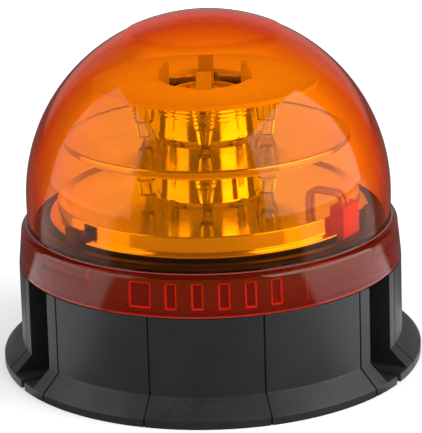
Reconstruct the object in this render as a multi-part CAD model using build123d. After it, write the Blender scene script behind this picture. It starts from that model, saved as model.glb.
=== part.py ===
from build123d import *
from math import acos, asin, degrees
import os

# Amber LED warning beacon on a black base that takes three bolts.
# Millimetres, +Z up. The origin is on the beacon's axis at the underside of its flange.
# Azimuths are in degrees from the front, -Y, towards +X.

# Flange and base wall
flange_radius = 77.2
flange_rim_height = 2.8
kink_height = 9.0
kink_radius = 70.3
wall_top_radius = 70.0
shoulder_height = 37.0
base_wall = 2.6
bottom_plate = 3.0
panels_between_recesses = 3
groove_width = 0.7
groove_depth = 0.8

# Bolt recesses, three round the base
recess_azimuths = (-60, 60, 180)
bolt_circle_radius = 65.0
bolt_hole_radius = 3.25
bolt_slit_width = 3.0
recess_floor_radius = 58.0
recess_half_width = 7.75
recess_groove_offset = 13.3
recess_corner = 1.5

# Spigot and deck that the lens fits over
root_flange_radius = 66.4
root_flange_height = 1.8
spigot_radius = 62.6
spigot_wall = 2.6
spigot_top = 53.6
deck_top = 50.0
deck_thickness = 2.5
upstand_inset = 5.6
upstand_wall = 3.4
upstand_height = 4.5

# Lens: collar and dome in one moulding
collar_radius = 70.0
collar_lip_radius = 68.6
collar_lip_height = 50.8
collar_inner_radius = 66.9
collar_gap = 0.3
collar_shoulder_under = 49.9
dome_radius = 66.3
dome_wall = 2.2
dome_start = 52.1
dome_spring = 60.5
pad_radius = 29.5
pad_height = 0.4

# Bayonet and grip ribs
bayonet_azimuths = (-48, 72, 192)
lug_span = 22.0
lug_inner_radius = 64.0
lug_bottom = 43.8
lug_top = 46.6
lug_tab_span = 1.4
ledge_reach = 3.1
ledge_gap = 0.3
ledge_thickness = 2.0
ledge_span = 26.0
ledge_stop_span = 2.0
rib_inner_radius = 66.0
rib_bottom = 39.4
rib_top = 48.6
rib_pitch = 7.75
rib_span = 3.5
rib_middle_azimuth = 5.6
ribs_each_side = 2
wide_rib_azimuth = -19.2
wide_rib_span = 6.7

# Ring seal in the spigot's groove
seal_radius = 1.05
seal_height = 52.0
seal_gap = 0.1
seal_groove_gap = 0.05

# Light tiers, each a board above a trumpet reflector
board_thickness = 1.6
upper_board_radius = 40.5
upper_board_top = 102.9
upper_board_bore = 15.2
lower_board_radius = 49.6
lower_board_underside = 79.8
reflector_wall = 1.5
neck_radius = 17.5
flare_width = 14.0
flare_height = 12.0
dish_rim_radius = 51.5
dish_rim_wall = 1.2
lower_floor = 60.0
pan_rim_inset = 2.0
pan_rim_height = 61.4
pan_flange_overhang = 1.0
pan_flange_thickness = 1.0
light_count = 6
light_stand_off = 7.5
led_side = 3.4
led_height = 1.1
optic_length = 10.7
optic_flange_radius = 5.4
optic_flange_thickness = 1.0
optic_top_radius = 4.7
optic_tip_radius = 3.4
optic_pocket_radius = 2.6
optic_pocket_depth = 2.5

# Centre post and the hub that snaps the upper board down
post_radius = 13.0
post_upper_radius = 11.0
post_bore = 9.0
post_top = 97.0
post_cap_thickness = 4.0
post_flange_radius = 20.0
post_flange_thickness = 2.4
hub_thickness = 2.0
hub_radius = 6.5
hub_ring_radius = 12.3
hub_ring_wall = 1.8
hook_count = 4
hook_width = 5.5
hook_thickness = 1.8
hook_nose = 2.0
hook_rise = 5.5
hook_gap = 0.5

# Driver board hung under the deck, and what it carries
driver_radius = 46.0
driver_top = 36.0
driver_boss_circle = 38.0
driver_boss_radius = 3.5
driver_boss_azimuths = (-30, 90, 210)
inductor_radius = 9.0
inductor_height = 12.0
inductor_place = (15, 12)
capacitor_radius = 5.0
capacitor_height = 16.0
capacitor_places = ((-22, 9), (-22, -9))
chip_size = (8, 6, 2.2)
chip_places = ((22, -14), (10, -24), (-6, 24))
terminal_size = (14, 8, 10)
terminal_place = (-8, -27)

# Connector beside the pan, with two leads down to the driver board
connector_azimuth = 58
connector_inset = 3.0
connector_depth = 5.2
connector_width = 10.8
connector_top = 64.5
connector_gap = 0.4
lead_radius = 0.9
lead_spacing = 3.0
lead_rise = 3.5
lead_bend = 3.2
lead_drop_inset = 14.0
lead_hole_radius = 3.0
post_lead_radius = 1.0
post_lead_offset = 6.0
post_lead_top = 100.8

# Clips that hold the pan down on the upstand
clip_azimuths = (-51, 71, 189)
clip_width = 7.0
clip_thickness = 1.8
clip_top = 59.5
clip_hook_thickness = 1.6
clip_gap = 0.1

# Cover, its seal, grommet and vent, in the underside
cover_opening = 54.0
cover_wall = 2.5
cover_gap = 0.3
cover_underside = 2.4
cover_thickness = 2.0
cover_seal_thickness = 0.8
ledge_inner_radius = 46.0
cover_ledge_thickness = 1.8
cover_screw_circle = 50.0
cover_screw_azimuths = (0, 90, 180, 270)
cover_boss_radius = 3.6
cover_boss_height = 9.0
grommet_bore = 3.2
grommet_neck = 6.9
grommet_lip_radius = 9.0
grommet_lip = 1.5
vent_place = 26.0
vent_neck = 2.9
vent_head_radius = 4.2
vent_lip = 0.8

# Fasteners and fits
screw_radius = 1.5
screw_head_radius = 2.9
screw_head_height = 1.8
screw_socket_radius = 1.1
screw_socket_depth = 1.0
screw_gap = 0.1
pilot_gap = 0.05
piece_gap = 0.1

# Heights that follow from the above
deck_underside = deck_top - deck_thickness
spigot_inner = spigot_radius - spigot_wall
upstand_top = deck_top + upstand_height
upstand_radius = spigot_radius - upstand_inset
pan_rim_radius = upstand_radius - pan_rim_inset
pan_flange_radius = upstand_radius + pan_flange_overhang
connector_inner = upstand_radius - connector_inset
connector_outer = connector_inner + connector_depth
lead_drop_radius = upstand_radius - lead_drop_inset
light_circle_radius = neck_radius + light_stand_off
upper_board_underside = upper_board_top - board_thickness
lower_board_top = lower_board_underside + board_thickness
upper_floor = lower_board_top + reflector_wall
driver_underside = driver_top - board_thickness
dome_inner_radius = dome_radius - dome_wall
ledge_underside = lug_top + ledge_gap
recess_wall_radius = recess_floor_radius - base_wall
cover_seal_bottom = cover_underside + cover_thickness
cover_ledge_bottom = cover_seal_bottom + cover_seal_thickness
cover_ledge_top = cover_ledge_bottom + cover_ledge_thickness
hub_top = post_top + hub_thickness
hook_outer = upper_board_bore - hook_gap

BASE = (Align.CENTER, Align.CENTER, Align.MIN)


def towards(azimuth):
    """Turn from +X to an azimuth."""
    return Rot(0, 0, azimuth - 90)


def turned(*corners):
    """Solid of revolution from an outline of (radius, height) corners."""
    return revolve(Plane.XZ * make_face(Polyline(*corners, close=True)), Axis.Z)


def rod(radius, bottom, top):
    return Pos(0, 0, bottom) * Cylinder(radius, top - bottom, align=BASE)


def tube(outer, inner, bottom, top):
    return turned((inner, bottom), (outer, bottom), (outer, top), (inner, top))


def bar(inner, outer, width, bottom, top):
    """Box that runs out along +X from one radius to another."""
    middle = Pos((inner + outer) / 2, 0, bottom)
    return middle * Box(outer - inner, width, top - bottom, align=BASE)


def sector(inner, outer, bottom, top, azimuth, span):
    """Part of a ring, centred on an azimuth."""
    outline = Polyline((inner, bottom), (outer, bottom), (outer, top), (inner, top), close=True)
    piece = revolve(Plane.XZ * make_face(outline), Axis.Z, span)
    return towards(azimuth - span / 2) * piece


def screw(seat, tip, sign=1):
    """Screw with its head on a seat, head upwards for sign 1 and downwards for sign -1."""
    head = rod(screw_head_radius, min(seat, seat + sign * screw_head_height),
               max(seat, seat + sign * screw_head_height))
    shank = rod(screw_radius, min(seat, tip), max(seat, tip))
    crown = seat + sign * screw_head_height
    floor = crown - sign * screw_socket_depth
    socket = extrude(RegularPolygon(screw_socket_radius, 6), screw_socket_depth)
    return head + shank - Pos(0, 0, min(crown, floor)) * socket


def wall_profile(inset):
    """Outline of the base's outer wall and flange, moved inwards by an inset."""
    return [
        (flange_radius - inset, 0),
        (flange_radius - inset, flange_rim_height),
        (kink_radius - inset, kink_height),
        (wall_top_radius - inset, shoulder_height),
    ]


def groove_azimuths():
    """Offsets from a recess's middle of the grooves up to the next recess."""
    edge = degrees_across(recess_groove_offset, wall_top_radius)
    step = (120 - 2 * edge) / panels_between_recesses
    return [edge + i * step for i in range(panels_between_recesses + 1)]


def degrees_across(half_width, radius):
    """Angle that a half width takes up at a radius."""
    return degrees(asin(half_width / radius))


def base_housing():
    shell = turned(
        (cover_opening, 0), *wall_profile(0),
        (root_flange_radius, shoulder_height),
        (root_flange_radius, shoulder_height + root_flange_height),
        (spigot_radius, shoulder_height + root_flange_height),
        (spigot_radius, spigot_top), (spigot_inner, spigot_top), (spigot_inner, deck_top),
        (0, deck_top), (0, deck_underside), (cover_opening, deck_underside),
    )
    cavity = turned(
        (cover_opening + cover_wall, bottom_plate), (kink_radius - base_wall, bottom_plate),
        (wall_top_radius - base_wall, shoulder_height - base_wall),
        (spigot_inner, shoulder_height - base_wall), (spigot_inner, deck_underside),
        (0, deck_underside), (0, cover_ledge_top), (cover_opening + cover_wall, cover_ledge_top),
    )
    for azimuth in recess_azimuths:
        cavity -= towards(azimuth) * bar(
            recess_wall_radius, flange_radius, 2 * (recess_half_width + base_wall),
            0, shoulder_height + root_flange_height)
    shell -= cavity
    shell += tube(cover_opening + cover_wall, ledge_inner_radius, cover_ledge_bottom, cover_ledge_top)
    for azimuth in recess_azimuths:
        shell -= towards(azimuth) * recess_cut()
    wall_skin = turned(*wall_profile(0), *reversed(wall_profile(groove_depth)))
    for azimuth in recess_azimuths:
        for offset in groove_azimuths():
            slot = bar(recess_floor_radius, flange_radius + 1, groove_width, 0, shoulder_height)
            shell -= towards(azimuth + offset) * slot & wall_skin
    shell += tube(upstand_radius, upstand_radius - upstand_wall, deck_top, upstand_top)
    shell -= connector_notch(upstand_radius - upstand_wall, upstand_radius, deck_top, upstand_top)
    shell = shell + bayonet_ledges() - seal_groove()
    return shell + deck_bosses() + cover_bosses() - housing_holes()


def connector_notch(inner, outer, bottom, top):
    """Cut through a ring from inner to outer radius that leaves room for the connector."""
    width = connector_width + 2 * connector_gap
    return towards(connector_azimuth) * bar(inner - 1, outer + 1, width, bottom, top)


def recess_cut():
    """Channel for a bolt and its spanner, with the bolt hole and its slit through the rim."""
    depth = flange_radius + 1 - recess_floor_radius
    plan = Pos(recess_floor_radius + depth / 2, 0) * Rectangle(depth, 2 * recess_half_width)
    inner_corners = plan.vertices().sort_by(Axis.X)[:2]
    channel = extrude(fillet(inner_corners, recess_corner), shoulder_height - bottom_plate)
    hole = Pos(bolt_circle_radius, 0, 0) * rod(bolt_hole_radius, 0, bottom_plate)
    slit = bar(bolt_circle_radius, flange_radius + 1, bolt_slit_width, 0, bottom_plate)
    return Pos(0, 0, bottom_plate) * channel + hole + slit


def bayonet_ledges():
    """Ledges that hold the lens's lugs down, each with a stop where the lens locks."""
    outer = spigot_radius + ledge_reach
    inner = spigot_radius - spigot_wall / 2
    ledges = Part()
    for azimuth in bayonet_azimuths:
        ledge_top = ledge_underside + ledge_thickness
        ledges += sector(inner, outer, ledge_underside, ledge_top, azimuth, ledge_span)
        stop_azimuth = azimuth - ledge_span / 2 + ledge_stop_span / 2
        ledges += sector(inner, outer, shoulder_height, ledge_top, stop_azimuth, ledge_stop_span)
    return ledges


def seal_groove():
    bottom = dome_inner_radius - seal_gap - 2 * seal_radius - seal_groove_gap
    half = seal_radius + seal_groove_gap
    return tube(spigot_radius + 1, bottom, seal_height - half, seal_height + half)


def deck_bosses():
    """Bosses under the deck that carry the driver board and take the post's screws."""
    bosses = Part()
    for azimuth in driver_boss_azimuths:
        boss = rod(driver_boss_radius, driver_top, deck_underside + 0.5)
        bosses += towards(azimuth) * Pos(driver_boss_circle, 0, 0) * boss
    for place in post_screw_places():
        bosses += place * rod(driver_boss_radius, deck_underside - 5, deck_underside + 0.5)
    return bosses


def post_screw_places():
    circle = post_radius + screw_head_radius + 5 * screw_gap
    return [towards(azimuth) * Pos(circle, 0, 0) for azimuth in driver_boss_azimuths]


def cover_bosses():
    boss = rod(cover_boss_radius, cover_ledge_bottom, cover_ledge_top + cover_boss_height)
    bosses = Part()
    for azimuth in cover_screw_azimuths:
        bosses += towards(azimuth) * Pos(cover_screw_circle, 0, 0) * boss
    return bosses


def housing_holes():
    """Pilot holes for screws and the leads' ways through the deck."""
    pilot = screw_radius + pilot_gap
    holes = rod(post_bore - 1, deck_underside, deck_top)
    for azimuth in driver_boss_azimuths:
        drilled = rod(pilot, driver_top, driver_top + 8)
        holes += towards(azimuth) * Pos(driver_boss_circle, 0, 0) * drilled
    for place in post_screw_places():
        holes += place * rod(pilot, deck_underside - 5, deck_top)
    for azimuth in cover_screw_azimuths:
        drilled = rod(pilot, cover_ledge_bottom, cover_ledge_top + cover_boss_height - 1)
        holes += towards(azimuth) * Pos(cover_screw_circle, 0, 0) * drilled
    lead_way = rod(lead_hole_radius, deck_underside, deck_top)
    return holes + towards(connector_azimuth) * Pos(lead_drop_radius, 0, 0) * lead_way


def lens_shell():
    """Collar and dome, with a faint round pad raised on the crown."""
    collar_bottom = shoulder_height + collar_gap
    centre = (0, dome_spring)
    pad_angle = degrees(acos(pad_radius / dome_radius))
    side = CenterArc(centre, dome_radius, 0, pad_angle)
    pad = Pos(0, pad_height) * CenterArc(centre, dome_radius, pad_angle, 90 - pad_angle)
    inside = CenterArc(centre, dome_inner_radius, 0, 90)
    collar = Polyline(
        inside @ 0, (dome_inner_radius, collar_shoulder_under),
        (collar_inner_radius, collar_shoulder_under), (collar_inner_radius, collar_bottom),
        (collar_radius, collar_bottom), (collar_lip_radius, collar_lip_height),
        (dome_radius, dome_start), side @ 0)
    outline = collar + side + Line(side @ 1, pad @ 0) + pad + Line(pad @ 1, inside @ 1) + inside
    return revolve(Plane.XZ * make_face(outline), Axis.Z)


def lens_dome():
    lens = lens_shell()
    bite = (collar_inner_radius + collar_lip_radius) / 2
    for azimuth in bayonet_azimuths:
        lens += sector(lug_inner_radius, bite, lug_bottom, lug_top, azimuth, lug_span)
        tab_azimuth = azimuth + (lug_span - lug_tab_span) / 2
        lens += sector(rib_inner_radius, bite, rib_bottom, lug_top, tab_azimuth, lug_tab_span)
    for i in range(-ribs_each_side, ribs_each_side + 1):
        rib_azimuth = rib_middle_azimuth + i * rib_pitch
        lens += sector(rib_inner_radius, bite, rib_bottom, rib_top, rib_azimuth, rib_span)
    lens += sector(rib_inner_radius, bite, rib_bottom, rib_top, wide_rib_azimuth, wide_rib_span)
    return lens


def lens_seal():
    ring_radius = dome_inner_radius - seal_gap - seal_radius
    return Pos(0, 0, seal_height) * Torus(ring_radius, seal_radius)


def trumpet(neck_top, floor, edge):
    """Face of a trumpet: a neck that flares into a flat floor, and the outline of its rim."""
    centre = (neck_radius + flare_width, floor + flare_height)
    under = floor - reflector_wall
    front = EllipticalCenterArc(centre, flare_width, flare_height, 180, arc_size=90)
    back = EllipticalCenterArc(
        centre, flare_width + reflector_wall, flare_height + reflector_wall, 180, arc_size=90)
    rim = Polyline((centre[0], floor), *edge, (centre[0], under))
    neck = Polyline(
        (neck_radius - reflector_wall, centre[1]), (neck_radius - reflector_wall, neck_top),
        (neck_radius, neck_top), (neck_radius, centre[1]))
    return make_face(front + rim + back + neck)


def upper_reflector():
    under = upper_floor - reflector_wall
    lip = lower_board_underside
    edge = (
        (dish_rim_radius, upper_floor), (dish_rim_radius, lip),
        (dish_rim_radius - dish_rim_wall, lip), (dish_rim_radius - dish_rim_wall, under))
    return revolve(Plane.XZ * trumpet(upper_board_underside, upper_floor, edge), Axis.Z)


def lower_reflector():
    inner = pan_rim_radius - reflector_wall
    flange_top = upstand_top + pan_flange_thickness
    edge = (
        (inner - 1, lower_floor), (inner, pan_rim_height), (pan_rim_radius, pan_rim_height),
        (pan_rim_radius, flange_top), (pan_flange_radius, flange_top),
        (pan_flange_radius, upstand_top), (inner, upstand_top),
        (inner, lower_floor - reflector_wall))
    pan = revolve(Plane.XZ * trumpet(lower_board_underside, lower_floor, edge), Axis.Z)
    pan -= connector_notch(
        pan_rim_radius - reflector_wall, pan_flange_radius, upstand_top - 1, pan_rim_height + 1)
    lead_way = rod(lead_hole_radius, lower_floor - 2 * reflector_wall, lower_floor + 1)
    return pan - towards(connector_azimuth) * Pos(lead_drop_radius, 0, 0) * lead_way


def reflector_clips():
    """Posts on the deck that hook over the pan's flange."""
    post_inner = pan_flange_radius + clip_gap
    hook_under = upstand_top + pan_flange_thickness + clip_gap
    clips = []
    for azimuth in clip_azimuths:
        post = bar(post_inner, post_inner + clip_thickness, clip_width, deck_top, clip_top)
        hook = bar(
            pan_rim_radius + clip_gap, post_inner + clip_thickness, clip_width,
            hook_under, hook_under + clip_hook_thickness)
        clips.append(towards(azimuth) * (post + hook))
    return Compound(children=clips)


def light_places():
    return [towards(i * 360 / light_count) * Pos(light_circle_radius, 0, 0)
            for i in range(light_count)]


def leds(board_underside):
    led = Pos(0, 0, board_underside - led_height) * Box(led_side, led_side, led_height, align=BASE)
    return Compound(children=[place * led for place in light_places()])


def optics(board_underside):
    """Clear cups under the LEDs, each with a flange against the board."""
    shoulder = board_underside - optic_flange_thickness
    tip = board_underside - optic_length
    cup = turned(
        (0, tip), (optic_tip_radius, tip), (optic_top_radius, shoulder),
        (optic_flange_radius, shoulder), (optic_flange_radius, board_underside),
        (optic_pocket_radius, board_underside),
        (optic_pocket_radius, board_underside - optic_pocket_depth),
        (0, board_underside - optic_pocket_depth))
    return Compound(children=[place * cup for place in light_places()])


def upper_led_board():
    return tube(upper_board_radius, upper_board_bore, upper_board_underside, upper_board_top)


def lower_led_board():
    bore = post_upper_radius + piece_gap
    return tube(lower_board_radius, bore, lower_board_underside, lower_board_top)


def centre_post():
    post = turned(
        (0, deck_top), (post_flange_radius, deck_top),
        (post_flange_radius, deck_top + post_flange_thickness),
        (post_radius, deck_top + post_flange_thickness), (post_radius, lower_board_underside),
        (post_upper_radius, lower_board_underside), (post_upper_radius, post_top), (0, post_top))
    post -= rod(post_bore, deck_top, post_top - post_cap_thickness)
    post -= rod(screw_radius + pilot_gap, post_top - post_cap_thickness, post_top)
    for place in post_screw_places():
        post -= place * rod(screw_radius + screw_gap, deck_top, deck_top + post_flange_thickness)
    return post - post_lead_ways(post_top - post_cap_thickness, post_top)


def post_lead_ways(bottom, top):
    way = rod(post_lead_radius + piece_gap, bottom, top)
    return Pos(post_lead_offset, 0, 0) * way + Pos(-post_lead_offset, 0, 0) * way


def snap_hub():
    """Spoked hub on the post, with hooks through the upper board's bore."""
    ring_inner = hub_ring_radius - hub_ring_wall
    hub = rod(hub_radius, post_top, hub_top) + tube(hub_ring_radius, ring_inner, post_top, hub_top)
    nose_under = upper_board_top + piece_gap
    nose_top = nose_under + hook_nose
    hook_top = upper_board_top + hook_rise
    inner = hook_outer - hook_thickness
    profile = Polyline(
        (hub_radius - 1, post_top), (hook_outer, post_top), (hook_outer, nose_under),
        (hook_outer + hook_nose, nose_under), (hook_outer + hook_nose, nose_top),
        (hook_outer, hook_top), (inner, hook_top), (inner, hub_top), (hub_radius - 1, hub_top),
        close=True)
    hook = extrude(Plane.XZ * make_face(profile), hook_width / 2, both=True)
    for i in range(hook_count):
        hub += towards(i * 360 / hook_count) * hook
    hub -= rod(screw_radius + screw_gap, post_top, hub_top)
    return hub - post_lead_ways(post_top, hub_top)


def driver_board():
    board = rod(driver_radius, driver_underside, driver_top)
    for azimuth in driver_boss_azimuths:
        hole = rod(screw_radius + screw_gap, driver_underside, driver_top)
        board -= towards(azimuth) * Pos(driver_boss_circle, 0, 0) * hole
    return board


def under_board(places, piece_height, piece):
    """Copies of a piece hung from the driver board's underside."""
    return Compound(children=[
        Pos(x, y, driver_underside - piece_height) * piece for x, y in places])


def driver_screws():
    fastener = screw(driver_underside, driver_top + 7, -1)
    return Compound(children=[
        towards(azimuth) * Pos(driver_boss_circle, 0, 0) * fastener
        for azimuth in driver_boss_azimuths])


def wire_connector():
    body = bar(connector_inner, connector_outer, connector_width, deck_top, connector_top)
    return towards(connector_azimuth) * body


def connector_leads():
    """Two leads from the connector's top, over the pan's rim and down to the driver board."""
    start = (connector_inner + connector_outer) / 2
    crest = connector_top + lead_rise
    leads = []
    for side in (-lead_spacing / 2, lead_spacing / 2):
        route = FilletPolyline(
            (start, side, connector_top), (start, side, crest), (lead_drop_radius, side, crest),
            (lead_drop_radius, side, driver_top), radius=lead_bend)
        section = Plane(origin=(start, side, connector_top), z_dir=(0, 0, 1)) * Circle(lead_radius)
        leads.append(towards(connector_azimuth) * sweep(section, route))
    return Compound(children=leads)


def post_leads():
    lead = rod(post_lead_radius, driver_top, post_lead_top)
    return Compound(children=[
        Pos(side * post_lead_offset, 0, 0) * lead for side in (-1, 1)])


def cover_plate(outer, bottom, top, hole):
    """Disc under the base with the cover screws' holes through it."""
    plate = rod(outer, bottom, top)
    for azimuth in cover_screw_azimuths:
        plate -= towards(azimuth) * Pos(cover_screw_circle, 0, 0) * rod(hole, bottom, top)
    return plate


def base_cover():
    plate = cover_plate(
        cover_opening - cover_gap, cover_underside, cover_seal_bottom, screw_radius + screw_gap)
    plate -= rod(grommet_neck + piece_gap, cover_underside, cover_seal_bottom)
    vent_hole = rod(vent_neck + piece_gap, cover_underside, cover_seal_bottom)
    return plate - Pos(vent_place, 0, 0) * vent_hole


def cover_seal():
    ring = cover_plate(
        cover_opening - cover_gap, cover_seal_bottom, cover_ledge_bottom, screw_radius + screw_gap)
    return ring - rod(ledge_inner_radius, cover_seal_bottom, cover_ledge_bottom)


def cable_grommet():
    """Rubber grommet in the cover's middle, where the supply cable leaves."""
    bottom = cover_underside - grommet_lip
    top = cover_seal_bottom + grommet_lip
    body = turned(
        (grommet_bore, bottom), (grommet_lip_radius, bottom), (grommet_lip_radius, cover_underside),
        (grommet_neck, cover_underside), (grommet_neck, cover_seal_bottom),
        (grommet_lip_radius, cover_seal_bottom), (grommet_lip_radius, top), (grommet_bore, top))
    return body


def breather_vent():
    plug = turned(
        (0, cover_underside - vent_lip), (vent_head_radius, cover_underside - vent_lip),
        (vent_head_radius, cover_underside), (vent_neck, cover_underside),
        (vent_neck, cover_seal_bottom), (vent_head_radius - 0.6, cover_seal_bottom),
        (vent_neck, cover_seal_bottom + vent_lip), (0, cover_seal_bottom + vent_lip))
    return Pos(vent_place, 0, 0) * plug


def cover_screws():
    fastener = screw(cover_underside, cover_ledge_top + cover_boss_height - 2, -1)
    return Compound(children=[
        towards(azimuth) * Pos(cover_screw_circle, 0, 0) * fastener
        for azimuth in cover_screw_azimuths])


def post_screws():
    fastener = screw(deck_top + post_flange_thickness, deck_underside - 4)
    return Compound(children=[place * fastener for place in post_screw_places()])


nodes = {
    "base_housing": base_housing(),
    "base_cover": base_cover(),
    "cover_seal": cover_seal(),
    "cover_screws": cover_screws(),
    "cable_grommet": cable_grommet(),
    "breather_vent": breather_vent(),
    "lens_dome": lens_dome(),
    "lens_seal": lens_seal(),
    "lower_reflector": lower_reflector(),
    "reflector_clips": reflector_clips(),
    "lower_led_board": lower_led_board(),
    "lower_leds": leds(lower_board_underside),
    "lower_optics": optics(lower_board_underside),
    "upper_reflector": upper_reflector(),
    "upper_led_board": upper_led_board(),
    "upper_leds": leds(upper_board_underside),
    "upper_optics": optics(upper_board_underside),
    "centre_post": centre_post(),
    "post_screws": post_screws(),
    "snap_hub": snap_hub(),
    "hub_screw": screw(hub_top, post_top - post_cap_thickness + 0.5),
    "driver_board": driver_board(),
    "driver_screws": driver_screws(),
    "inductor": under_board(
        (inductor_place,), inductor_height, Cylinder(inductor_radius, inductor_height, align=BASE)),
    "capacitors": under_board(
        capacitor_places, capacitor_height,
        Cylinder(capacitor_radius, capacitor_height, align=BASE)),
    "power_chips": under_board(chip_places, chip_size[2], Box(*chip_size, align=BASE)),
    "input_terminal": under_board((terminal_place,), terminal_size[2], Box(*terminal_size, align=BASE)),
    "wire_connector": wire_connector(),
    "connector_leads": connector_leads(),
    "post_leads": post_leads(),
}

os.makedirs("parts", exist_ok=True)
for name, shape in nodes.items():
    export_step(shape, "parts/" + name + ".step")
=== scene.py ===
import bpy
import bmesh
import math
from mathutils import Matrix, Vector


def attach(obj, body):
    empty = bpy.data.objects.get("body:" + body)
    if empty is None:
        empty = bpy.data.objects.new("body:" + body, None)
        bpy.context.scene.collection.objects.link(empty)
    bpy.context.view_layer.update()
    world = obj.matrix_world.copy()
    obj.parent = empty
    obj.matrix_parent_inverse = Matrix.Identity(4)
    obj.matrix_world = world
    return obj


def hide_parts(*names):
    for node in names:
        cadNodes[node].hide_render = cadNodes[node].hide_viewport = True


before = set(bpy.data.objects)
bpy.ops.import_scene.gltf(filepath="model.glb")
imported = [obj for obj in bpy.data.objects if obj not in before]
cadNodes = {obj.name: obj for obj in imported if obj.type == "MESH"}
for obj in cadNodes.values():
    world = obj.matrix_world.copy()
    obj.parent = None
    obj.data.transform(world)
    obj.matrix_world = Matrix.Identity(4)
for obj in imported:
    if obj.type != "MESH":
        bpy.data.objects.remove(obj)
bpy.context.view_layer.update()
mm = 0.001                 # the frame is in metres, the shapes below are in millimetres
mergeDistance = 0.002 * mm
print("frame loaded:", len(cadNodes), "nodes")

scene = bpy.context.scene
scene.view_settings.view_transform = "Standard"


# node groups that several finishes share

def newGroup(name, inputs, outputs):
    # inputs: name -> default, outputs: name -> socket type
    group = bpy.data.node_groups.new(name, "ShaderNodeTree")
    for label, value in inputs.items():
        kind = "NodeSocketColor" if isinstance(value, tuple) else "NodeSocketFloat"
        socket = group.interface.new_socket(name=label, in_out="INPUT", socket_type=kind)
        socket.default_value = value
    for label, kind in outputs.items():
        group.interface.new_socket(name=label, in_out="OUTPUT", socket_type=kind)
    entry = group.nodes.new("NodeGroupInput")
    leave = group.nodes.new("NodeGroupOutput")
    return group, entry, leave


def addNoise(tree, vector, scale, detail=4.0, rough=0.55):
    noise = tree.nodes.new("ShaderNodeTexNoise")
    noise.inputs["Detail"].default_value = detail
    noise.inputs["Roughness"].default_value = rough
    tree.links.new(vector, noise.inputs["Vector"])
    if hasattr(scale, "is_linked"):
        tree.links.new(scale, noise.inputs["Scale"])
    else:
        noise.inputs["Scale"].default_value = scale
    return noise.outputs["Fac"]


def addMath(tree, operation, first, second=None, clamp=False):
    node = tree.nodes.new("ShaderNodeMath")
    node.operation = operation
    node.use_clamp = clamp
    for socket, value in zip(node.inputs, (first, second)):
        if value is None:
            continue
        if hasattr(value, "is_linked"):
            tree.links.new(value, socket)
        else:
            socket.default_value = value
    return node.outputs[0]


def addRange(tree, value, low, high, newLow, newHigh):
    node = tree.nodes.new("ShaderNodeMapRange")
    node.inputs["From Min"].default_value = low
    node.inputs["From Max"].default_value = high
    node.inputs["To Min"].default_value = newLow
    node.inputs["To Max"].default_value = newHigh
    tree.links.new(value, node.inputs["Value"])
    return node.outputs[0]


def addMix(tree, fac, first, second):
    node = tree.nodes.new("ShaderNodeMix")
    node.data_type = "RGBA"
    for socket, value in ((node.inputs[0], fac), (node.inputs[6], first), (node.inputs[7], second)):
        if hasattr(value, "is_linked"):
            tree.links.new(value, socket)
        else:
            socket.default_value = value
    return node.outputs[2]


dustLook = {"speckleScale": 900.0, "upward": (0.2, 1.0), "patches": (0.22, 0.36)}


def makeSurfaceGroup(look):
    # moulding grain, slow tone drift and dust that settles on faces that look up
    group, entry, leave = newGroup(
        "surfaceDetail",
        {"Grain Scale": 1500.0, "Drift Scale": 40.0, "Dust": 0.3},
        {"Grain": "NodeSocketFloat", "Drift": "NodeSocketFloat", "Dust Mask": "NodeSocketFloat"},
    )
    place = group.nodes.new("ShaderNodeTexCoord").outputs["Object"]
    grain = addNoise(group, place, entry.outputs["Grain Scale"], 3.0, 0.6)
    drift = addNoise(group, place, entry.outputs["Drift Scale"], 4.0, 0.5)
    speckle = addNoise(group, place, look["speckleScale"], 2.0, 0.7)
    normal = group.nodes.new("ShaderNodeSeparateXYZ")
    geometry = group.nodes.new("ShaderNodeNewGeometry")
    group.links.new(geometry.outputs["Normal"], normal.inputs[0])
    upward = addRange(group, normal.outputs["Z"], *look["upward"], 0.0, 1.0)
    patches = addRange(group, addMath(group, "MULTIPLY", drift, speckle), *look["patches"], 0.0, 1.0)
    dust = addMath(group, "MULTIPLY", upward, patches)
    dust = addMath(group, "MULTIPLY", dust, entry.outputs["Dust"], True)
    group.links.new(grain, leave.inputs["Grain"])
    group.links.new(drift, leave.inputs["Drift"])
    group.links.new(dust, leave.inputs["Dust Mask"])
    return group


scratchLook = {"turns": (0.5, 2.1), "tilt": 0.3, "stretch": 18.0, "threshold": (0.66, 0.74)}


def makeScratchGroup(look):
    # fine handling scratches: stretched noise in two directions, cut at a threshold
    group, entry, leave = newGroup(
        "handlingScratches", {"Scale": 60.0, "Amount": 0.5}, {"Scratches": "NodeSocketFloat"})
    place = group.nodes.new("ShaderNodeTexCoord").outputs["Object"]
    total = None
    for turn in look["turns"]:
        mapping = group.nodes.new("ShaderNodeMapping")
        mapping.inputs["Rotation"].default_value = (look["tilt"], turn, turn * 1.7)
        mapping.inputs["Scale"].default_value = (1.0, look["stretch"], 1.0)
        group.links.new(place, mapping.inputs["Vector"])
        lines = addNoise(group, mapping.outputs[0], entry.outputs["Scale"], 3.0, 0.6)
        lines = addRange(group, lines, *look["threshold"], 0.0, 1.0)
        total = lines if total is None else addMath(group, "MAXIMUM", total, lines)
    scratches = addMath(group, "MULTIPLY", total, entry.outputs["Amount"], True)
    group.links.new(scratches, leave.inputs["Scratches"])
    return group


surfaceDetail = makeSurfaceGroup(dustLook)
handlingScratches = makeScratchGroup(scratchLook)


# finishes

noiseSpan = (0.3, 0.7)     # where most of the noise lies


def newMaterial(name):
    material = bpy.data.materials.new(name)
    material.use_nodes = True
    return material, material.node_tree, material.node_tree.nodes["Principled BSDF"]


def placeGroup(tree, group, values):
    node = tree.nodes.new("ShaderNodeGroup")
    node.node_tree = group
    for label, value in values.items():
        node.inputs[label].default_value = value
    return node


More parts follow.
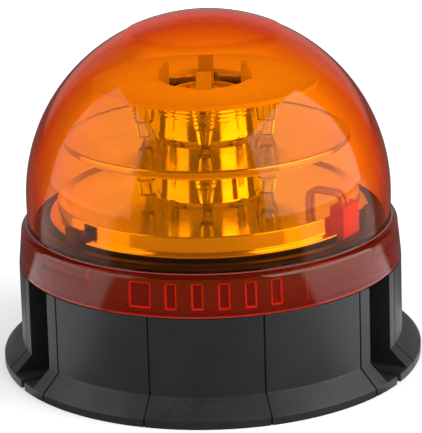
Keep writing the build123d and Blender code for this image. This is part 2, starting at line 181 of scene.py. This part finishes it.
def bumpFrom(tree, height, depth, roundEdge=None):
    bump = tree.nodes.new("ShaderNodeBump")
    bump.inputs["Strength"].default_value = 1.0
    bump.inputs["Distance"].default_value = depth
    tree.links.new(height, bump.inputs["Height"])
    if roundEdge:
        rounded = tree.nodes.new("ShaderNodeBevel")
        rounded.samples = 6
        rounded.inputs["Radius"].default_value = roundEdge
        tree.links.new(rounded.outputs[0], bump.inputs["Normal"])
    return bump.outputs[0]


def solidFinish(name, look):
    # one recipe for the opaque mouldings, boards, rubbers and metals, with its own values
    material, tree, shader = newMaterial(name)
    detail = placeGroup(tree, surfaceDetail, {
        "Grain Scale": look["grainScale"], "Drift Scale": look["driftScale"], "Dust": look["dust"]})
    scratch = placeGroup(tree, handlingScratches, {
        "Scale": look["scratchScale"], "Amount": look["scratches"]})
    drift = addRange(tree, detail.outputs["Drift"], *noiseSpan, 0.0, 1.0)
    colour = addMix(tree, drift, (*look["colour"], 1), (*look["colourDrift"], 1))
    colour = addMix(tree, detail.outputs["Dust Mask"], colour, (*look["dustColour"], 1))
    tree.links.new(colour, shader.inputs["Base Color"])
    rough = addRange(tree, detail.outputs["Grain"], *noiseSpan, *look["rough"])
    dulled = addMath(tree, "MULTIPLY", scratch.outputs["Scratches"], look["scratchRough"])
    rough = addMath(tree, "ADD", rough, dulled)
    dusty = addMath(tree, "MULTIPLY", detail.outputs["Dust Mask"], look["dustRough"])
    rough = addMath(tree, "ADD", rough, dusty, True)
    tree.links.new(rough, shader.inputs["Roughness"])
    height = addMath(tree, "SUBTRACT", detail.outputs["Grain"], scratch.outputs["Scratches"])
    tree.links.new(bumpFrom(tree, height, look["bump"], look.get("edge")), shader.inputs["Normal"])
    shader.inputs["Metallic"].default_value = look.get("metal", 0.0)
    shader.inputs["Specular IOR Level"].default_value = look.get("specular", 0.5)
    return material


plain = {
    "colour": (0.3, 0.3, 0.3), "colourDrift": (0.33, 0.33, 0.33), "dustColour": (0.35, 0.34, 0.32),
    "dust": 0.1, "grainScale": 2500.0, "driftScale": 60.0, "scratchScale": 60.0, "scratches": 0.2,
    "rough": (0.35, 0.5), "scratchRough": 0.12, "dustRough": 0.3, "bump": 0.00001,
}
basePlastic = solidFinish("basePlastic", {
    **plain, "colour": (0.012, 0.0125, 0.013), "colourDrift": (0.016, 0.0165, 0.017), "specular": 0.42,
    "dust": 0.03, "rough": (0.36, 0.5), "bump": 0.00002, "edge": 0.0004, "grainScale": 3000.0})
coverPlastic = solidFinish("coverPlastic", {
    **plain, "colour": (0.025, 0.025, 0.026), "colourDrift": (0.035, 0.035, 0.036), "edge": 0.0004})
rubber = solidFinish("rubber", {
    **plain, "colour": (0.015, 0.015, 0.016), "colourDrift": (0.022, 0.022, 0.022),
    "rough": (0.6, 0.75), "edge": 0.0003})
clipPlastic = solidFinish("clipPlastic", {
    **plain, "colour": (0.02, 0.018, 0.018), "colourDrift": (0.03, 0.028, 0.028), "edge": 0.0003})
hubPlastic = solidFinish("hubPlastic", {
    **plain, "colour": (0.62, 0.6, 0.55), "colourDrift": (0.7, 0.68, 0.63), "rough": (0.25, 0.35),
    "edge": 0.0003})
connectorPlastic = solidFinish("connectorPlastic", {
    **plain, "colour": (0.75, 0.05, 0.04), "colourDrift": (0.65, 0.04, 0.03), "rough": (0.3, 0.4),
    "edge": 0.0005})
leadCover = solidFinish("leadCover", {
    **plain, "colour": (0.62, 0.4, 0.36), "colourDrift": (0.7, 0.46, 0.42), "rough": (0.4, 0.5)})
screwSteel = solidFinish("screwSteel", {
    **plain, "colour": (0.6, 0.6, 0.62), "colourDrift": (0.5, 0.5, 0.52), "metal": 1.0,
    "rough": (0.22, 0.35), "edge": 0.0003})
postAluminium = solidFinish("postAluminium", {
    **plain, "colour": (0.7, 0.71, 0.72), "colourDrift": (0.62, 0.63, 0.64), "metal": 1.0,
    "rough": (0.25, 0.4), "edge": 0.0003})
boardGreen = solidFinish("boardGreen", {
    **plain, "colour": (0.02, 0.12, 0.05), "colourDrift": (0.03, 0.16, 0.07), "rough": (0.3, 0.4)})
coilVarnish = solidFinish("coilVarnish", {
    **plain, "colour": (0.3, 0.12, 0.04), "colourDrift": (0.4, 0.17, 0.06), "rough": (0.3, 0.45)})
canSleeve = solidFinish("canSleeve", {
    **plain, "colour": (0.02, 0.02, 0.03), "colourDrift": (0.03, 0.03, 0.05), "rough": (0.25, 0.35)})
terminalGreen = solidFinish("terminalGreen", {
    **plain, "colour": (0.03, 0.25, 0.08), "colourDrift": (0.04, 0.3, 0.1), "rough": (0.3, 0.4)})
ledPhosphor = solidFinish("ledPhosphor", {
    **plain, "colour": (0.85, 0.6, 0.05), "colourDrift": (0.9, 0.7, 0.1), "rough": (0.3, 0.4)})
print("opaque finishes made")


boardLook = {
    "colour": (0.92, 0.92, 0.88), "colourDrift": (0.97, 0.97, 0.95), "grainScale": 1800.0,
    "driftScale": 70.0, "dust": 0.1, "trackScale": 45.0, "trackWidth": 0.03,
    "rough": (0.28, 0.42), "bump": 0.00002, "edge": 0.0002,
}


def makeBoardWhite(look):
    # white solder mask with faint buried tracks
    material, tree, shader = newMaterial("boardWhite")
    detail = placeGroup(tree, surfaceDetail, {
        "Grain Scale": look["grainScale"], "Drift Scale": look["driftScale"], "Dust": look["dust"]})
    place = tree.nodes.new("ShaderNodeTexCoord").outputs["Object"]
    tracks = tree.nodes.new("ShaderNodeTexBrick")
    tracks.inputs["Scale"].default_value = look["trackScale"]
    tracks.inputs["Mortar Size"].default_value = look["trackWidth"]
    tree.links.new(place, tracks.inputs["Vector"])
    tint = addMix(tree, detail.outputs["Drift"], (*look["colour"], 1), (*look["colourDrift"], 1))
    tree.links.new(tint, shader.inputs["Base Color"])
    rough = addRange(tree, detail.outputs["Grain"], *noiseSpan, *look["rough"])
    tree.links.new(rough, shader.inputs["Roughness"])
    height = addMath(tree, "ADD", detail.outputs["Grain"], tracks.outputs["Fac"])
    tree.links.new(bumpFrom(tree, height, look["bump"], look["edge"]), shader.inputs["Normal"])
    return material


metalLook = {
    "colour": (0.93, 0.93, 0.92), "colourDrift": (0.98, 0.98, 0.97), "dustColour": (0.6, 0.58, 0.55),
    "grainScale": 350.0, "driftScale": 60.0, "dust": 0.08, "hazeSpan": (0.35, 0.75),
    "rough": (0.09, 0.17), "bump": 0.00003,
}


def makeReflectorMetal(look):
    # vacuum metallised plastic: bright, with slight orange peel and haze
    material, tree, shader = newMaterial("reflectorMetal")
    detail = placeGroup(tree, surfaceDetail, {
        "Grain Scale": look["grainScale"], "Drift Scale": look["driftScale"], "Dust": look["dust"]})
    tint = addMix(tree, detail.outputs["Drift"], (*look["colour"], 1), (*look["colourDrift"], 1))
    tint = addMix(tree, detail.outputs["Dust Mask"], tint, (*look["dustColour"], 1))
    tree.links.new(tint, shader.inputs["Base Color"])
    haze = addRange(tree, detail.outputs["Drift"], *look["hazeSpan"], *look["rough"])
    tree.links.new(addMath(tree, "ADD", haze, detail.outputs["Dust Mask"]), shader.inputs["Roughness"])
    tree.links.new(bumpFrom(tree, detail.outputs["Grain"], look["bump"]), shader.inputs["Normal"])
    shader.inputs["Metallic"].default_value = 1.0
    return material


mouldedClear = {
    "grainScale": 500.0, "driftScale": 35.0, "dust": 0.25, "scratchScale": 45.0, "scratches": 0.5,
    "roughSpan": (0.3, 0.8), "scratchRough": 0.05, "grainFlow": 0.1, "bump": 0.00006,
}


def makeClear(name, look):
    # clear moulding: smooth glass with a plain absorption inside, faint haze and flow marks
    look = {**mouldedClear, **look}
    material, tree, shader = newMaterial(name)
    detail = placeGroup(tree, surfaceDetail, {
        "Grain Scale": look["grainScale"], "Drift Scale": look["driftScale"], "Dust": look["dust"]})
    scratch = placeGroup(tree, handlingScratches, {
        "Scale": look["scratchScale"], "Amount": look["scratches"]})
    if "limb" in look:     # a deeper tint where the wall is seen edge-on
        weight = tree.nodes.new("ShaderNodeLayerWeight")
        weight.inputs["Blend"].default_value = 0.5
        edge = addRange(tree, weight.outputs["Facing"], *look["limbRange"], 0.0, 1.0)
        tint = addMix(tree, edge, (*look["tint"], 1), (*look["limb"], 1))
        tree.links.new(tint, shader.inputs["Base Color"])
    else:
        shader.inputs["Base Color"].default_value = (*look["tint"], 1)
    shader.inputs["Transmission Weight"].default_value = look["transmission"]
    shader.inputs["IOR"].default_value = look["ior"]
    rough = addRange(tree, detail.outputs["Drift"], *look["roughSpan"], *look["rough"])
    dulled = addMath(tree, "MULTIPLY", scratch.outputs["Scratches"], look["scratchRough"])
    tree.links.new(addMath(tree, "ADD", rough, dulled, True), shader.inputs["Roughness"])
    flow = addMath(tree, "MULTIPLY", detail.outputs["Grain"], look["grainFlow"])
    flow = addMath(tree, "ADD", detail.outputs["Drift"], flow)
    tree.links.new(bumpFrom(tree, flow, look["bump"]), shader.inputs["Normal"])
    if look["density"]:
        volume = tree.nodes.new("ShaderNodeVolumeAbsorption")
        volume.inputs["Color"].default_value = (*look["absorb"], 1)
        volume.inputs["Density"].default_value = look["density"]
        tree.links.new(volume.outputs[0], tree.nodes["Material Output"].inputs["Volume"])
    return material


boardWhite = makeBoardWhite(boardLook)
reflectorMetal = makeReflectorMetal(metalLook)
opticClear = makeClear("opticClear", {
    "tint": (1, 1, 1), "absorb": (1, 1, 1), "density": 0, "rough": (0.0, 0.03), "ior": 1.49,
    "transmission": 1.0})
glassBody = {
    "tint": (1, 1, 1), "absorb": (0.994, 0.83, 0.012), "density": 1800.0, "rough": (0.0, 0.02),
    "ior": 1.27, "transmission": 1.0}
lensGlass = {**glassBody, "limb": (0.6, 0.24, 0.12), "limbRange": (0.4, 0.8)}
skinGlass = {**glassBody, "ior": 1.45}
# painted light: these copies of the amber glass take a diffuse red share, the collar's so that it reads
# lit red-brown over the dark base, the ribs' as a painted highlight on their flanks
litCollarGlass = {**glassBody, "tint": (1.0, 0.27, 0.2), "transmission": 0.8}
ribHighlightGlass = {**glassBody, "tint": (1.0, 0.2, 0.12), "transmission": 0.1}
amberLens = makeClear("amberLens", lensGlass)
amberCollarLit = makeClear("amberCollarLit", litCollarGlass)
amberRibHighlight = makeClear("amberRibHighlight", ribHighlightGlass)
amberSkin = makeClear("amberSkin", skinGlass)
print("clear, metal and board finishes made")


# helpers for the meshes

def profileFrom(corners):
    # wire in the XZ plane from (radius, height, rounding) corners in millimetres
    bm = bmesh.new()
    verts = [bm.verts.new((corner[0] * mm, 0, corner[1] * mm)) for corner in corners]
    for first, second in zip(verts, verts[1:]):
        bm.edges.new((first, second))
    for vert, (radius, height, rounding) in zip(verts, corners):
        if rounding:
            bmesh.ops.bevel(
                bm, geom=[vert], offset=rounding * mm, offset_type="OFFSET", segments=5,
                profile=0.5, affect="VERTICES", material=-1)
    return bm


def lathe(bm, steps):
    # full turn about Z, with the poles closed
    bmesh.ops.spin(
        bm, geom=bm.verts[:] + bm.edges[:], cent=(0, 0, 0), axis=(0, 0, 1),
        angle=math.tau, steps=steps, use_merge=True)
    bmesh.ops.remove_doubles(bm, verts=bm.verts, dist=mergeDistance)
    bmesh.ops.recalc_face_normals(bm, faces=bm.faces)


def finishPiece(bm, name, materials, body, node, sharpAngle=32):
    mesh = bpy.data.meshes.new(name)
    bm.to_mesh(mesh)
    bm.free()
    mesh.shade_smooth()
    mesh.set_sharp_from_angle(angle=math.radians(sharpAngle))
    for material in materials:
        mesh.materials.append(material)
    piece = bpy.data.objects.new(name, mesh)
    scene.collection.objects.link(piece)
    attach(piece, body)
    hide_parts(node)
    print("made", name, len(mesh.polygons), "faces")


def arcCorners(radius, centreHeight, startDegrees, endDegrees, count, centreRadius=0.0, squash=1.0):
    # points on a round stretch of a profile, first and last included
    corners = []
    for i in range(count + 1):
        angle = math.radians(startDegrees + (endDegrees - startDegrees) * i / count)
        corners.append((
            centreRadius + radius * math.cos(angle),
            centreHeight + radius * squash * math.sin(angle), 0))
    corners[-1] = (max(corners[-1][0], 0), corners[-1][1], 0)
    return corners


def turnTo(azimuth):
    # turns +X to an azimuth: 0 is the front, -Y, and 90 is +X
    return Matrix.Rotation(math.radians(azimuth - 90), 4, "Z")


# the lens: collar and dome in one moulding

lensLook = {
    "collarBottom": (70.0, 37.3), "lip": (68.6, 50.8), "waist": (66.3, 52.1),
    "domeRadius": 66.3, "spring": 60.5, "wall": 2.2, "steps": 192, "domeRings": 40,
    "padRadius": 29.5, "padHeight": 0.4, "padFade": 1.6, "collarInner": 66.9, "shoulder": 49.9,
    "ribInner": 66.0, "ribBottom": 39.4, "ribTop": 48.6, "ribPitch": 7.75, "ribMiddle": 5.6,
    "ribSpan": 3.5, "ribsEachSide": 2, "wideRib": (-19.2, 6.7), "ribBite": 0.7, "ribBevel": 0.55,
    "lugAzimuths": (-48, 72, 192), "lugInner": 64.0, "lugHeights": (43.8, 46.6), "lugSpan": 22.0,
    "ticks": ((-36.7, 47.3, 49.7), (30.7, 39.4, 47.3)), "tickInner": 66.3, "tickSpan": 0.6,
    "tickBevel": 0.1, "lugBevel": 0.25,
    "skinDepth": 0.5, "edgeHeight": 0.25, "margin": 0.1, "innerMargin": 0.02, "facingOut": 0.97,
}


blockStep = 1.2         # degrees to a face
sharpCorner = 1.0       # radians, less than a square corner


def ringBlock(inner, outer, bottom, top, azimuth, span, bevel):
    # curved bar on the collar's inside, its middle at the azimuth
    bm = bmesh.new()
    section = [(inner, bottom), (outer, bottom), (outer, top), (inner, top)]
    verts = [bm.verts.new((radius * mm, 0, height * mm)) for radius, height in section]
    face = bm.faces.new(verts)
    steps = max(2, int(span / blockStep))
    bmesh.ops.spin(
        bm, geom=[face] + face.edges[:] + face.verts[:], cent=(0, 0, 0), axis=(0, 0, 1),
        angle=math.radians(span), steps=steps)
    bmesh.ops.rotate(
        bm, verts=bm.verts, cent=(0, 0, 0), matrix=turnTo(azimuth - span / 2).to_3x3())
    bmesh.ops.remove_doubles(bm, verts=bm.verts, dist=mergeDistance)
    bmesh.ops.recalc_face_normals(bm, faces=bm.faces)
    corners = [edge for edge in bm.edges if edge.is_manifold and edge.calc_face_angle(0) > sharpCorner]
    bmesh.ops.bevel(
        bm, geom=corners, offset=bevel * mm, offset_type="OFFSET", segments=2, profile=0.5,
        affect="EDGES", material=-1)
    return bm


def unite(bm, parts):
    # boolean union of closed shapes, done on scratch objects and read back
    mesh = bpy.data.meshes.new("scratchMesh")
    bm.to_mesh(mesh)
    bm.free()
    whole = bpy.data.objects.new("scratchWhole", mesh)
    scene.collection.objects.link(whole)
    extras = []
    for part in parts:
        partMesh = bpy.data.meshes.new("scratchPart")
        part.to_mesh(partMesh)
        part.free()
        extra = bpy.data.objects.new("scratchPart", partMesh)
        scene.collection.objects.link(extra)
        extras.append(extra)
        join = whole.modifiers.new("join", "BOOLEAN")
        join.operation = "UNION"
        join.solver = "EXACT"
        join.object = extra
    bpy.context.view_layer.update()
    graph = bpy.context.evaluated_depsgraph_get()
    joined = bmesh.new()
    joined.from_mesh(whole.evaluated_get(graph).to_mesh())
    for scratch in [whole] + extras:
        bpy.data.objects.remove(scratch)
    return joined


litCollarIndex, ribHighlightIndex, skinIndex = 1, 2, 3     # after the dome's own finish, 0


def paintCollar(bm, look):
    # painted light: the inner wall takes a partly opaque red that paints it lit red-brown, the rib
    # flanks and the collar's lower edge take a redder, mostly opaque red as a painted highlight, and the
    # skin outside is glossy
    for face in bm.faces:
        middle = face.calc_center_median()
        radius = math.hypot(middle.x, middle.y) / mm
        height = middle.z / mm
        across = abs(face.normal.x * middle.x + face.normal.y * middle.y) / (radius * mm)
        if height < look["lip"][1] and radius > look["lip"][0] - look["skinDepth"]:
            face.material_index = skinIndex
        # painted highlight: the collar's lower edge takes the rib finish
        if height < look["collarBottom"][1] + look["edgeHeight"] and radius > look["collarInner"]:
            face.material_index = ribHighlightIndex
        if height > look["waist"][1] or radius > look["collarInner"] + look["margin"]:
            continue
        inRibs = look["ribInner"] - look["margin"] < radius < look["collarInner"] - look["innerMargin"]
        inRibs = inRibs and height < look["ribTop"] + look["margin"]
        # painted highlight on the rib flanks, painted lit red-brown on the rest of the inner wall
        face.material_index = ribHighlightIndex if inRibs and across < look["facingOut"] else litCollarIndex


def makeLens(look):
    spring, radius = look["spring"], look["domeRadius"]
    padAngle = math.degrees(math.acos(look["padRadius"] / radius))
    rings = look["domeRings"]
    collarInner = look["collarInner"]
    corners = [(collarInner, look["shoulder"], 0.3), (collarInner, look["collarBottom"][1], 0.3)]
    corners += [(*look["collarBottom"], 0.5), (*look["lip"], 0.9), (*look["waist"], 0.6)]
    corners += arcCorners(radius, spring, 0, padAngle, rings)
    corners += arcCorners(
        radius, spring + look["padHeight"], padAngle + look["padFade"], 90, rings // 2)
    inner = radius - look["wall"]
    corners += arcCorners(inner, spring, 90, 0, rings)
    corners += [(inner, look["shoulder"], 0.5), (collarInner, look["shoulder"], 0)]
    bm = profileFrom(corners)
    bmesh.ops.remove_doubles(bm, verts=bm.verts, dist=mergeDistance)
    lathe(bm, look["steps"])
    outer = collarInner + look["ribBite"]
    heights = look["ribBottom"], look["ribTop"]
    parts = []
    for i in range(-look["ribsEachSide"], look["ribsEachSide"] + 1):
        azimuth = look["ribMiddle"] + i * look["ribPitch"]
        parts.append(ringBlock(
            look["ribInner"], outer, *heights, azimuth, look["ribSpan"], look["ribBevel"]))
    parts.append(ringBlock(
        look["ribInner"], outer, *heights, *look["wideRib"], look["ribBevel"]))
    for azimuth, bottom, top in look["ticks"]:
        parts.append(ringBlock(
            look["tickInner"], outer, bottom, top, azimuth, look["tickSpan"], look["tickBevel"]))
    for azimuth in look["lugAzimuths"]:
        parts.append(ringBlock(
            look["lugInner"], outer, *look["lugHeights"], azimuth, look["lugSpan"], look["lugBevel"]))
    bm = unite(bm, parts)
    paintCollar(bm, look)
    lensFinishes = [amberLens, amberCollarLit, amberRibHighlight, amberSkin]
    finishPiece(bm, "lensMoulding", lensFinishes, "lens", "lens_dome")


makeLens(lensLook)


# the reflectors: ribbed upright necks on mirror dishes

trumpetLook = {
    "neckRadius": 17.5, "wall": 1.5, "ribs": 7, "firstRib": 0.6, "ribPitch": 1.45, "ribDepth": 0.3,
    "foot": (2.2, 2.4), "footSteps": 6, "steps": 192,
}
upperLook = {
    **trumpetLook, "neckTop": 101.3, "floor": 82.9,
    "rim": [(49.4, 82.9, 0.4), (50.7, 83.4, 0.3), (51.5, 83.1, 0.3), (51.5, 81.2, 0.2),
            (50.5, 81.2, 0.1), (50.3, 81.4, 0.1)],
}
lowerLook = {
    **trumpetLook, "neckTop": 79.8, "floor": 60.0,
    "rim": [(52.3, 60.0, 1.0), (53.6, 61.2, 0.5), (54.9, 61.3, 0.4), (55.0, 55.5, 0.3),
            (57.9, 55.5, 0.3), (58.0, 54.6, 0.2), (53.6, 54.6, 0.2), (53.6, 58.5, 0.5)],
}


def makeTrumpet(look, name, node):
    # one closed profile: down the ribbed neck, over the foot and the dish to its rim, back underneath
    radius, wall, floor = look["neckRadius"], look["wall"], look["floor"]
    width, rise = look["foot"]
    corners = [(radius - wall, look["neckTop"], 0), (radius, look["neckTop"], 0)]
    height = look["neckTop"] - look["firstRib"]
    for i in range(look["ribs"]):
        corners.append((radius, height, 0.15))
        corners.append((radius - look["ribDepth"], height - look["ribPitch"] / 2, 0.2))
        height -= look["ribPitch"]
    corners += arcCorners(
        width, floor + rise, 180, 270, look["footSteps"], radius + width, rise / width)
    corners += look["rim"]
    corners += arcCorners(
        width + wall, floor + rise, 270, 180, look["footSteps"], radius + width,
        (rise + wall) / (width + wall))
    corners.append((radius - wall, look["neckTop"], 0))
    bm = profileFrom(corners)
    lathe(bm, look["steps"])
    finishPiece(bm, name, [reflectorMetal], "base", node)


makeTrumpet(upperLook, "upperTrumpet", "upper_reflector")
makeTrumpet(lowerLook, "lowerTrumpet", "lower_reflector")


# the optics: clear two-stage cups under the lights

opticLook = {
    "circle": 25.0, "count": 6, "steps": 36, "boardGap": 0.02,
    "flange": 5.4, "flangeThickness": 1.0, "top": 4.7, "tip": 3.4, "length": 10.7,
    "pocket": 2.6, "pocketDepth": 2.5, "stemTop": 3.0, "stemTip": 2.3, "stemLength": 5.6,
    "stemNose": (0.7, 0.3), "step": 0.2,     # flat share and drop of the stem's end, step between stages
}


def makeOptics(look, name, node, boardUnderside):
    tip = boardUnderside - look["length"]
    shoulder = boardUnderside - look["flangeThickness"]
    face = boardUnderside - look["boardGap"]
    pocketFloor = boardUnderside - look["pocketDepth"]
    foot = tip - look["stemLength"]
    noseShare, noseDrop = look["stemNose"]
    step = look["step"]
    corners = [
        (0, foot + noseDrop, 0), (look["stemTip"] * noseShare, foot, 0.5),
        (look["stemTip"], foot + noseDrop, 0.3), (look["stemTop"], tip - step, 0.2),
        (look["stemTop"], tip, 0.1), (look["tip"], tip + step, 0.3),
        (look["top"], shoulder, 0.2), (look["flange"], shoulder, 0.2),
        (look["flange"], face, 0.2), (look["pocket"], face, 0.2),
        (look["pocket"], pocketFloor, 0.6), (0, pocketFloor, 0)]
    cup = profileFrom(corners)
    lathe(cup, look["steps"])
    mesh = bpy.data.meshes.new("scratchCup")
    cup.to_mesh(mesh)
    cup.free()
    bm = bmesh.new()
    outward = Matrix.Translation((look["circle"] * mm, 0, 0))
    for i in range(look["count"]):
        placed = mesh.copy()
        placed.transform(turnTo(i * 360 / look["count"]) @ outward)
        bm.from_mesh(placed)
    finishPiece(bm, name, [opticClear], "base", node)


makeOptics(opticLook, "upperCups", "upper_optics", upperLook["neckTop"])
makeOptics(opticLook, "lowerCups", "lower_optics", lowerLook["neckTop"])


# finishes on the CAD pieces that stay

cadFinishes = {
    "base_housing": basePlastic, "base_cover": coverPlastic, "cover_seal": rubber,
    "cover_screws": screwSteel, "cable_grommet": rubber, "breather_vent": coverPlastic,
    "lens_seal": rubber, "reflector_clips": clipPlastic, "lower_led_board": boardWhite,
    "lower_leds": ledPhosphor, "upper_led_board": boardWhite, "upper_leds": ledPhosphor,
    "centre_post": postAluminium, "post_screws": screwSteel, "snap_hub": hubPlastic,
    "hub_screw": screwSteel, "driver_board": boardGreen, "driver_screws": screwSteel,
    "inductor": coilVarnish, "capacitors": canSleeve, "power_chips": canSleeve,
    "input_terminal": terminalGreen, "wire_connector": connectorPlastic,
    "connector_leads": leadCover, "post_leads": leadCover,
}
for node, finish in cadFinishes.items():
    for slot in cadNodes[node].material_slots:
        slot.material = finish
print("CAD pieces finished")


# floor, light and camera

floorLook = {
    "size": 6.0, "drop": 0.00005, "colour": (0.95, 0.95, 0.95), "rough": 0.9, "specular": 0.1,
    # the mirrored and through values paint reflection and shade into the floor's colour
    "sideSector": (54, 112), "sectorSoft": 2.0, "mirrored": (0.08, 0.9),     # degrees from the front
    "insidePaintedReflection": (0.45, 0.92), "behind": (164, 174),
    "throughPaintedShade": (-0.1, 0.1, 0.74, 0.95), "throughBehind": 0.95,     # left to right, in metres
    "whiteFrom": (0.4, 0.75),
}


def addStep(tree, value, edge, soft):
    return addRange(tree, value, edge - soft, edge + soft, 0.0, 1.0)


def addBand(tree, value, low, high, soft):
    # 1 between low and high, with soft edges
    after = addStep(tree, value, low, soft)
    before = addMath(tree, "SUBTRACT", 1.0, addStep(tree, value, high, soft))
    return addMath(tree, "MULTIPLY", after, before)


def addTurnAway(tree, vector):
    # degrees away from the front, 0 to 180 on either side
    axes = tree.nodes.new("ShaderNodeSeparateXYZ")
    tree.links.new(vector, axes.inputs[0])
    forward = addMath(tree, "MULTIPLY", axes.outputs["Y"], -1.0)
    turn = addMath(tree, "ARCTAN2", axes.outputs["X"], forward)
    return addMath(tree, "MULTIPLY", addMath(tree, "ABSOLUTE", turn), 180 / math.pi), axes


def makeFloor(look):
    # pale to the camera and as light on the object; in reflections its colour is painted: dark, a
    # painted shade, but for a bright sector each side, a painted reflection of the lit sides
    bm = bmesh.new()
    bmesh.ops.create_grid(bm, x_segments=1, y_segments=1, size=look["size"] / 2)
    mesh = bpy.data.meshes.new("floor")
    bm.to_mesh(mesh)
    bm.free()
    material, tree, shader = newMaterial("floorPale")
    place = tree.nodes.new("ShaderNodeTexCoord").outputs["Object"]
    away, axes = addTurnAway(tree, place)
    beside = addBand(tree, away, *look["sideSector"], look["sectorSoft"])
    mirrored = addRange(tree, beside, 0.0, 1.0, *look["mirrored"])
    path = tree.nodes.new("ShaderNodeLightPath")
    unscattered = addMath(tree, "SUBTRACT", 1.0, path.outputs["Diffuse Depth"], True)
    glossy = addMath(tree, "MINIMUM", path.outputs["Glossy Depth"], 1.0)
    glossy = addMath(tree, "MULTIPLY", glossy, unscattered)
    # painted reflection: seen in the mirrors inside the lens the floor is paler, palest right behind
    inside = addMath(tree, "MINIMUM", path.outputs["Transmission Depth"], 1.0)
    insidePaintedReflection = addRange(tree, away, *look["behind"], *look["insidePaintedReflection"])
    insidePaintedReflection = addMath(tree, "MULTIPLY", inside, insidePaintedReflection)
    mirrored = addMath(tree, "MAXIMUM", mirrored, insidePaintedReflection)
    # painted shade and light on the floor seen straight through the lens: dimmer to the left, full white
    # right behind
    through = addRange(tree, axes.outputs["X"], *look["throughPaintedShade"])
    throughBehind = addRange(tree, away, *look["behind"], 0.0, look["throughBehind"])
    through = addMath(tree, "MAXIMUM", through, throughBehind)
    straight = addMath(tree, "MULTIPLY", inside, unscattered)
    colour = addMix(tree, straight, (*look["colour"], 1), through)
    tree.links.new(addMix(tree, glossy, colour, mirrored), shader.inputs["Base Color"])
    shader.inputs["Roughness"].default_value = look["rough"]
    shader.inputs["Specular IOR Level"].default_value = look["specular"]
    # past the shadow the floor fades to the white of the background
    reach = tree.nodes.new("ShaderNodeVectorMath")
    reach.operation = "LENGTH"
    tree.links.new(place, reach.inputs[0])
    white = addRange(tree, reach.outputs["Value"], *look["whiteFrom"], 0.0, 1.0)
    white = addMath(tree, "MULTIPLY", white, path.outputs["Is Camera Ray"])
    shader.inputs["Emission Color"].default_value = (1, 1, 1, 1)
    tree.links.new(white, shader.inputs["Emission Strength"])
    mesh.materials.append(material)
    floor = bpy.data.objects.new("floor", mesh)
    floor.location.z = -look["drop"]     # just under the object
    scene.collection.objects.link(floor)


def makeWorld(look):
    # white to the camera, a plain level on matt surfaces, a white sheet behind for mirrors and glass
    world = bpy.data.worlds.new("studio")
    scene.world = world
    world.use_nodes = True
    tree = world.node_tree
    background = tree.nodes["Background"]
    path = tree.nodes.new("ShaderNodeLightPath")
    away, axes = addTurnAway(tree, tree.nodes.new("ShaderNodeTexCoord").outputs["Generated"])
    sheet = addStep(tree, away, look["sheetFrom"], look["sheetSoft"])
    low = addRange(tree, axes.outputs["Z"], *look["sheetTop"], 1.0, 0.0)
    sheet = addMath(tree, "MULTIPLY", sheet, low)
    inside = addMath(tree, "MINIMUM", path.outputs["Transmission Depth"], 1.0)
    sheetInside = addRange(tree, sheet, 0.0, 1.0, look["darkInside"], 1.0)
    inside = addMath(tree, "MULTIPLY", inside, sheetInside)
    mirrored = addRange(tree, sheet, 0.0, 1.0, look["dark"], look["sheet"])
    mirrored = addMath(tree, "MAXIMUM", mirrored, inside)
    seen = addMath(tree, "MAXIMUM", path.outputs["Is Glossy Ray"], path.outputs["Is Transmission Ray"])
    unscattered = addMath(tree, "SUBTRACT", 1.0, path.outputs["Diffuse Depth"], True)
    seen = addMath(tree, "MULTIPLY", seen, unscattered)
    room = tree.nodes.new("ShaderNodeMix")
    room.data_type = "FLOAT"
    room.inputs[2].default_value = look["matt"]
    tree.links.new(seen, room.inputs[0])
    tree.links.new(mirrored, room.inputs[3])
    strength = addMath(tree, "MAXIMUM", room.outputs[0], path.outputs["Is Camera Ray"])
    tree.links.new(strength, background.inputs["Strength"])
    background.inputs["Color"].default_value = (1, 1, 1, 1)


worldLook = {
    "dark": 0.06, "darkInside": 0.3, "sheet": 0.35, "sheetFrom": 143, "sheetSoft": 3.0,
    "sheetTop": (0.35, 0.6), "matt": 0.8,
}
boxLamp = {"height": 0.55, "distance": 0.8}
lamps = {
    "leftBox": {**boxLamp, "azimuth": -78, "size": (1.05, 1.05), "radiance": 1.75},
    "rightBox": {**boxLamp, "azimuth": 72, "size": (1.2, 1.05), "radiance": 3.3},
}


def makeLamp(name, look):
    light = bpy.data.lights.new(name, "AREA")
    light.shape = "RECTANGLE"
    light.size, light.size_y = look["size"]
    light.energy = look["radiance"] * math.pi * light.size * light.size_y
    lamp = bpy.data.objects.new(name, light)
    place = turnTo(look["azimuth"]) @ Vector((look["distance"], 0, look["height"]))
    lamp.location = place
    lamp.rotation_euler = Vector((-place.x, -place.y, 0)).to_track_quat("-Z", "Y").to_euler()
    scene.collection.objects.link(lamp)


cameraLook = {
    "target": 0.060, "distance": 0.760, "elevation": 17.19, "azimuth": 1.9, "roll": -1.67,
    "lens": 173.3, "sensor": 36, "near": 0.01, "shift": (0.0059, -0.055),
}


def makeCamera(look):
    data = bpy.data.cameras.new("camera")
    data.lens = look["lens"]
    data.sensor_width = look["sensor"]
    data.shift_x, data.shift_y = look["shift"]
    data.clip_start = look["near"]
    camera = bpy.data.objects.new("camera", data)
    swing = Matrix.Rotation(math.radians(look["azimuth"]), 4, "Z")
    tilt = Matrix.Rotation(math.radians(90 - look["elevation"]), 4, "X")
    roll = Matrix.Rotation(math.radians(look["roll"]), 4, "Z")
    stand = Matrix.Translation((0, 0, look["target"]))
    camera.matrix_world = stand @ swing @ tilt @ Matrix.Translation((0, 0, look["distance"])) @ roll
    scene.collection.objects.link(camera)
    scene.camera = camera


makeFloor(floorLook)
makeWorld(worldLook)
for lampName, lampLook in lamps.items():
    makeLamp(lampName, lampLook)
makeCamera(cameraLook)
print("stage set")
